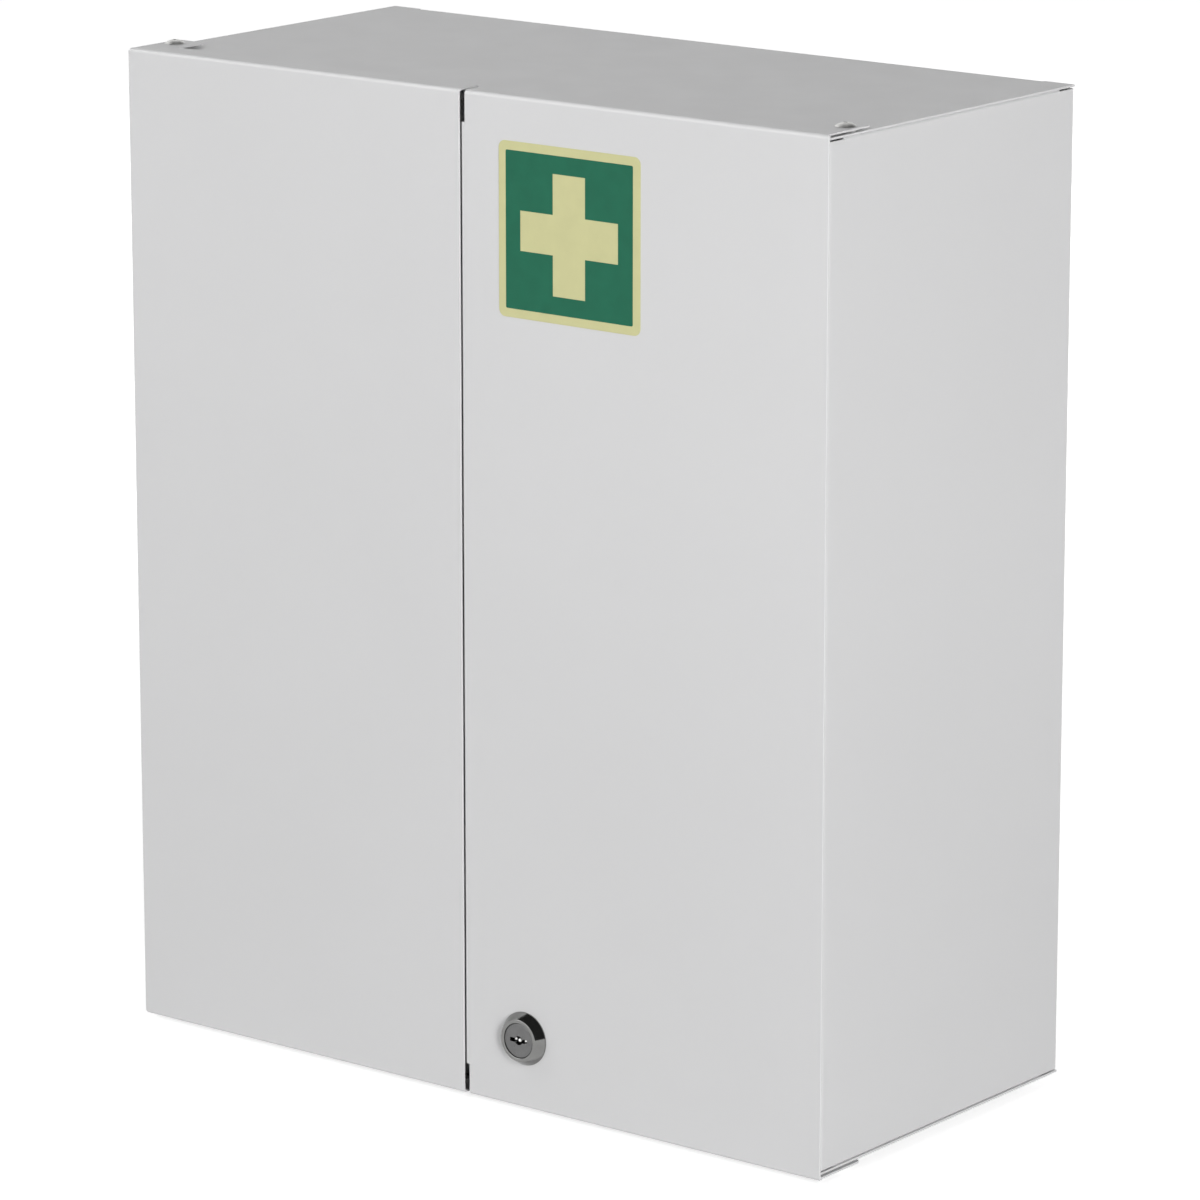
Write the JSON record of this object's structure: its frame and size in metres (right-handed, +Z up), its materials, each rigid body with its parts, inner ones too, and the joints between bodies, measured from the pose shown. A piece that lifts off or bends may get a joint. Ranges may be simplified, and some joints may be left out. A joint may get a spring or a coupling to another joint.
{
  "type": "first aid cabinet",
  "caption": "Wall-hung steel first aid cabinet with a pair of hinged doors on riveted corner pivots, a key lock with a turning cam, inner shelves and a green cross sign.",
  "frame": {"origin": "middle of the wall hole pattern on the rear face of the back panel", "axes": "+X to the right as seen from the front, +Y into the wall, +Z up; the doors face -Y"},
  "size_m": [0.42, 0.2049, 0.4938],
  "materials": {
    "white_steel": "semi-gloss powder coat",
    "inner_steel": "semi-gloss powder coat",
    "rivet_steel": "zinc plated",
    "lock_nickel": "polished nickel plate",
    "plug_nickel": "satin nickel plate",
    "cam_steel": "zinc plated",
    "buffer_rubber": "matt",
    "catch_plastic": "matt",
    "magnet_ferrite": "sintered ferrite",
    "sign_pale": "matt vinyl",
    "sign_green": "matt print"
  },
  "bodies": {
    "cabinet": {"left_side_panel": "white_steel", "right_side_panel": "white_steel", "back_panel": "inner_steel", "top_panel": "white_steel", "bottom_panel": "white_steel", "top_stop_rail": "inner_steel", "bottom_stop_rail": "inner_steel", "left_pivot_rivets": "rivet_steel", "right_pivot_rivets": "rivet_steel", "left_pivot_washers": "rivet_steel", "right_pivot_washers": "rivet_steel", "upper_shelf": "inner_steel", "lower_shelf": "inner_steel", "upper_shelf_runners": "inner_steel", "lower_shelf_runners": "inner_steel", "door_buffers": "buffer_rubber", "magnet_case": "catch_plastic", "magnet": "magnet_ferrite", "catch_rivets": "rivet_steel"},
    "left_door": {"left_door_panel": "white_steel", "left_door_stiffener": "white_steel"},
    "right_door": {"right_door_panel": "white_steel", "lock_housing": "lock_nickel", "lock_nut": "cam_steel", "sign_backing": "sign_pale", "sign_green_field": "sign_green"},
    "lock_core": {"lock_plug": "plug_nickel", "lock_wafers": "plug_nickel", "lock_cam": "cam_steel", "cam_washer": "cam_steel", "cam_screw": "cam_steel"}
  },
  "joints": [
    {"name": "left_door_hinge", "type": "hinge", "parent": "cabinet", "child": "left_door", "pos_m": [-0.2015, -0.1755, 0], "axis": [0, 0, -1], "range_deg": [0, 120]},
    {"name": "right_door_hinge", "type": "hinge", "parent": "cabinet", "child": "right_door", "pos_m": [0.2015, -0.1755, 0], "axis": [0, 0, 1], "range_deg": [0, 120]},
    {"name": "lock_turn", "type": "hinge", "parent": "right_door", "child": "lock_core", "pos_m": [0.0348, -0.19, -0.21], "axis": [0, -1, 0], "range_deg": [0, 90]}
  ]
}
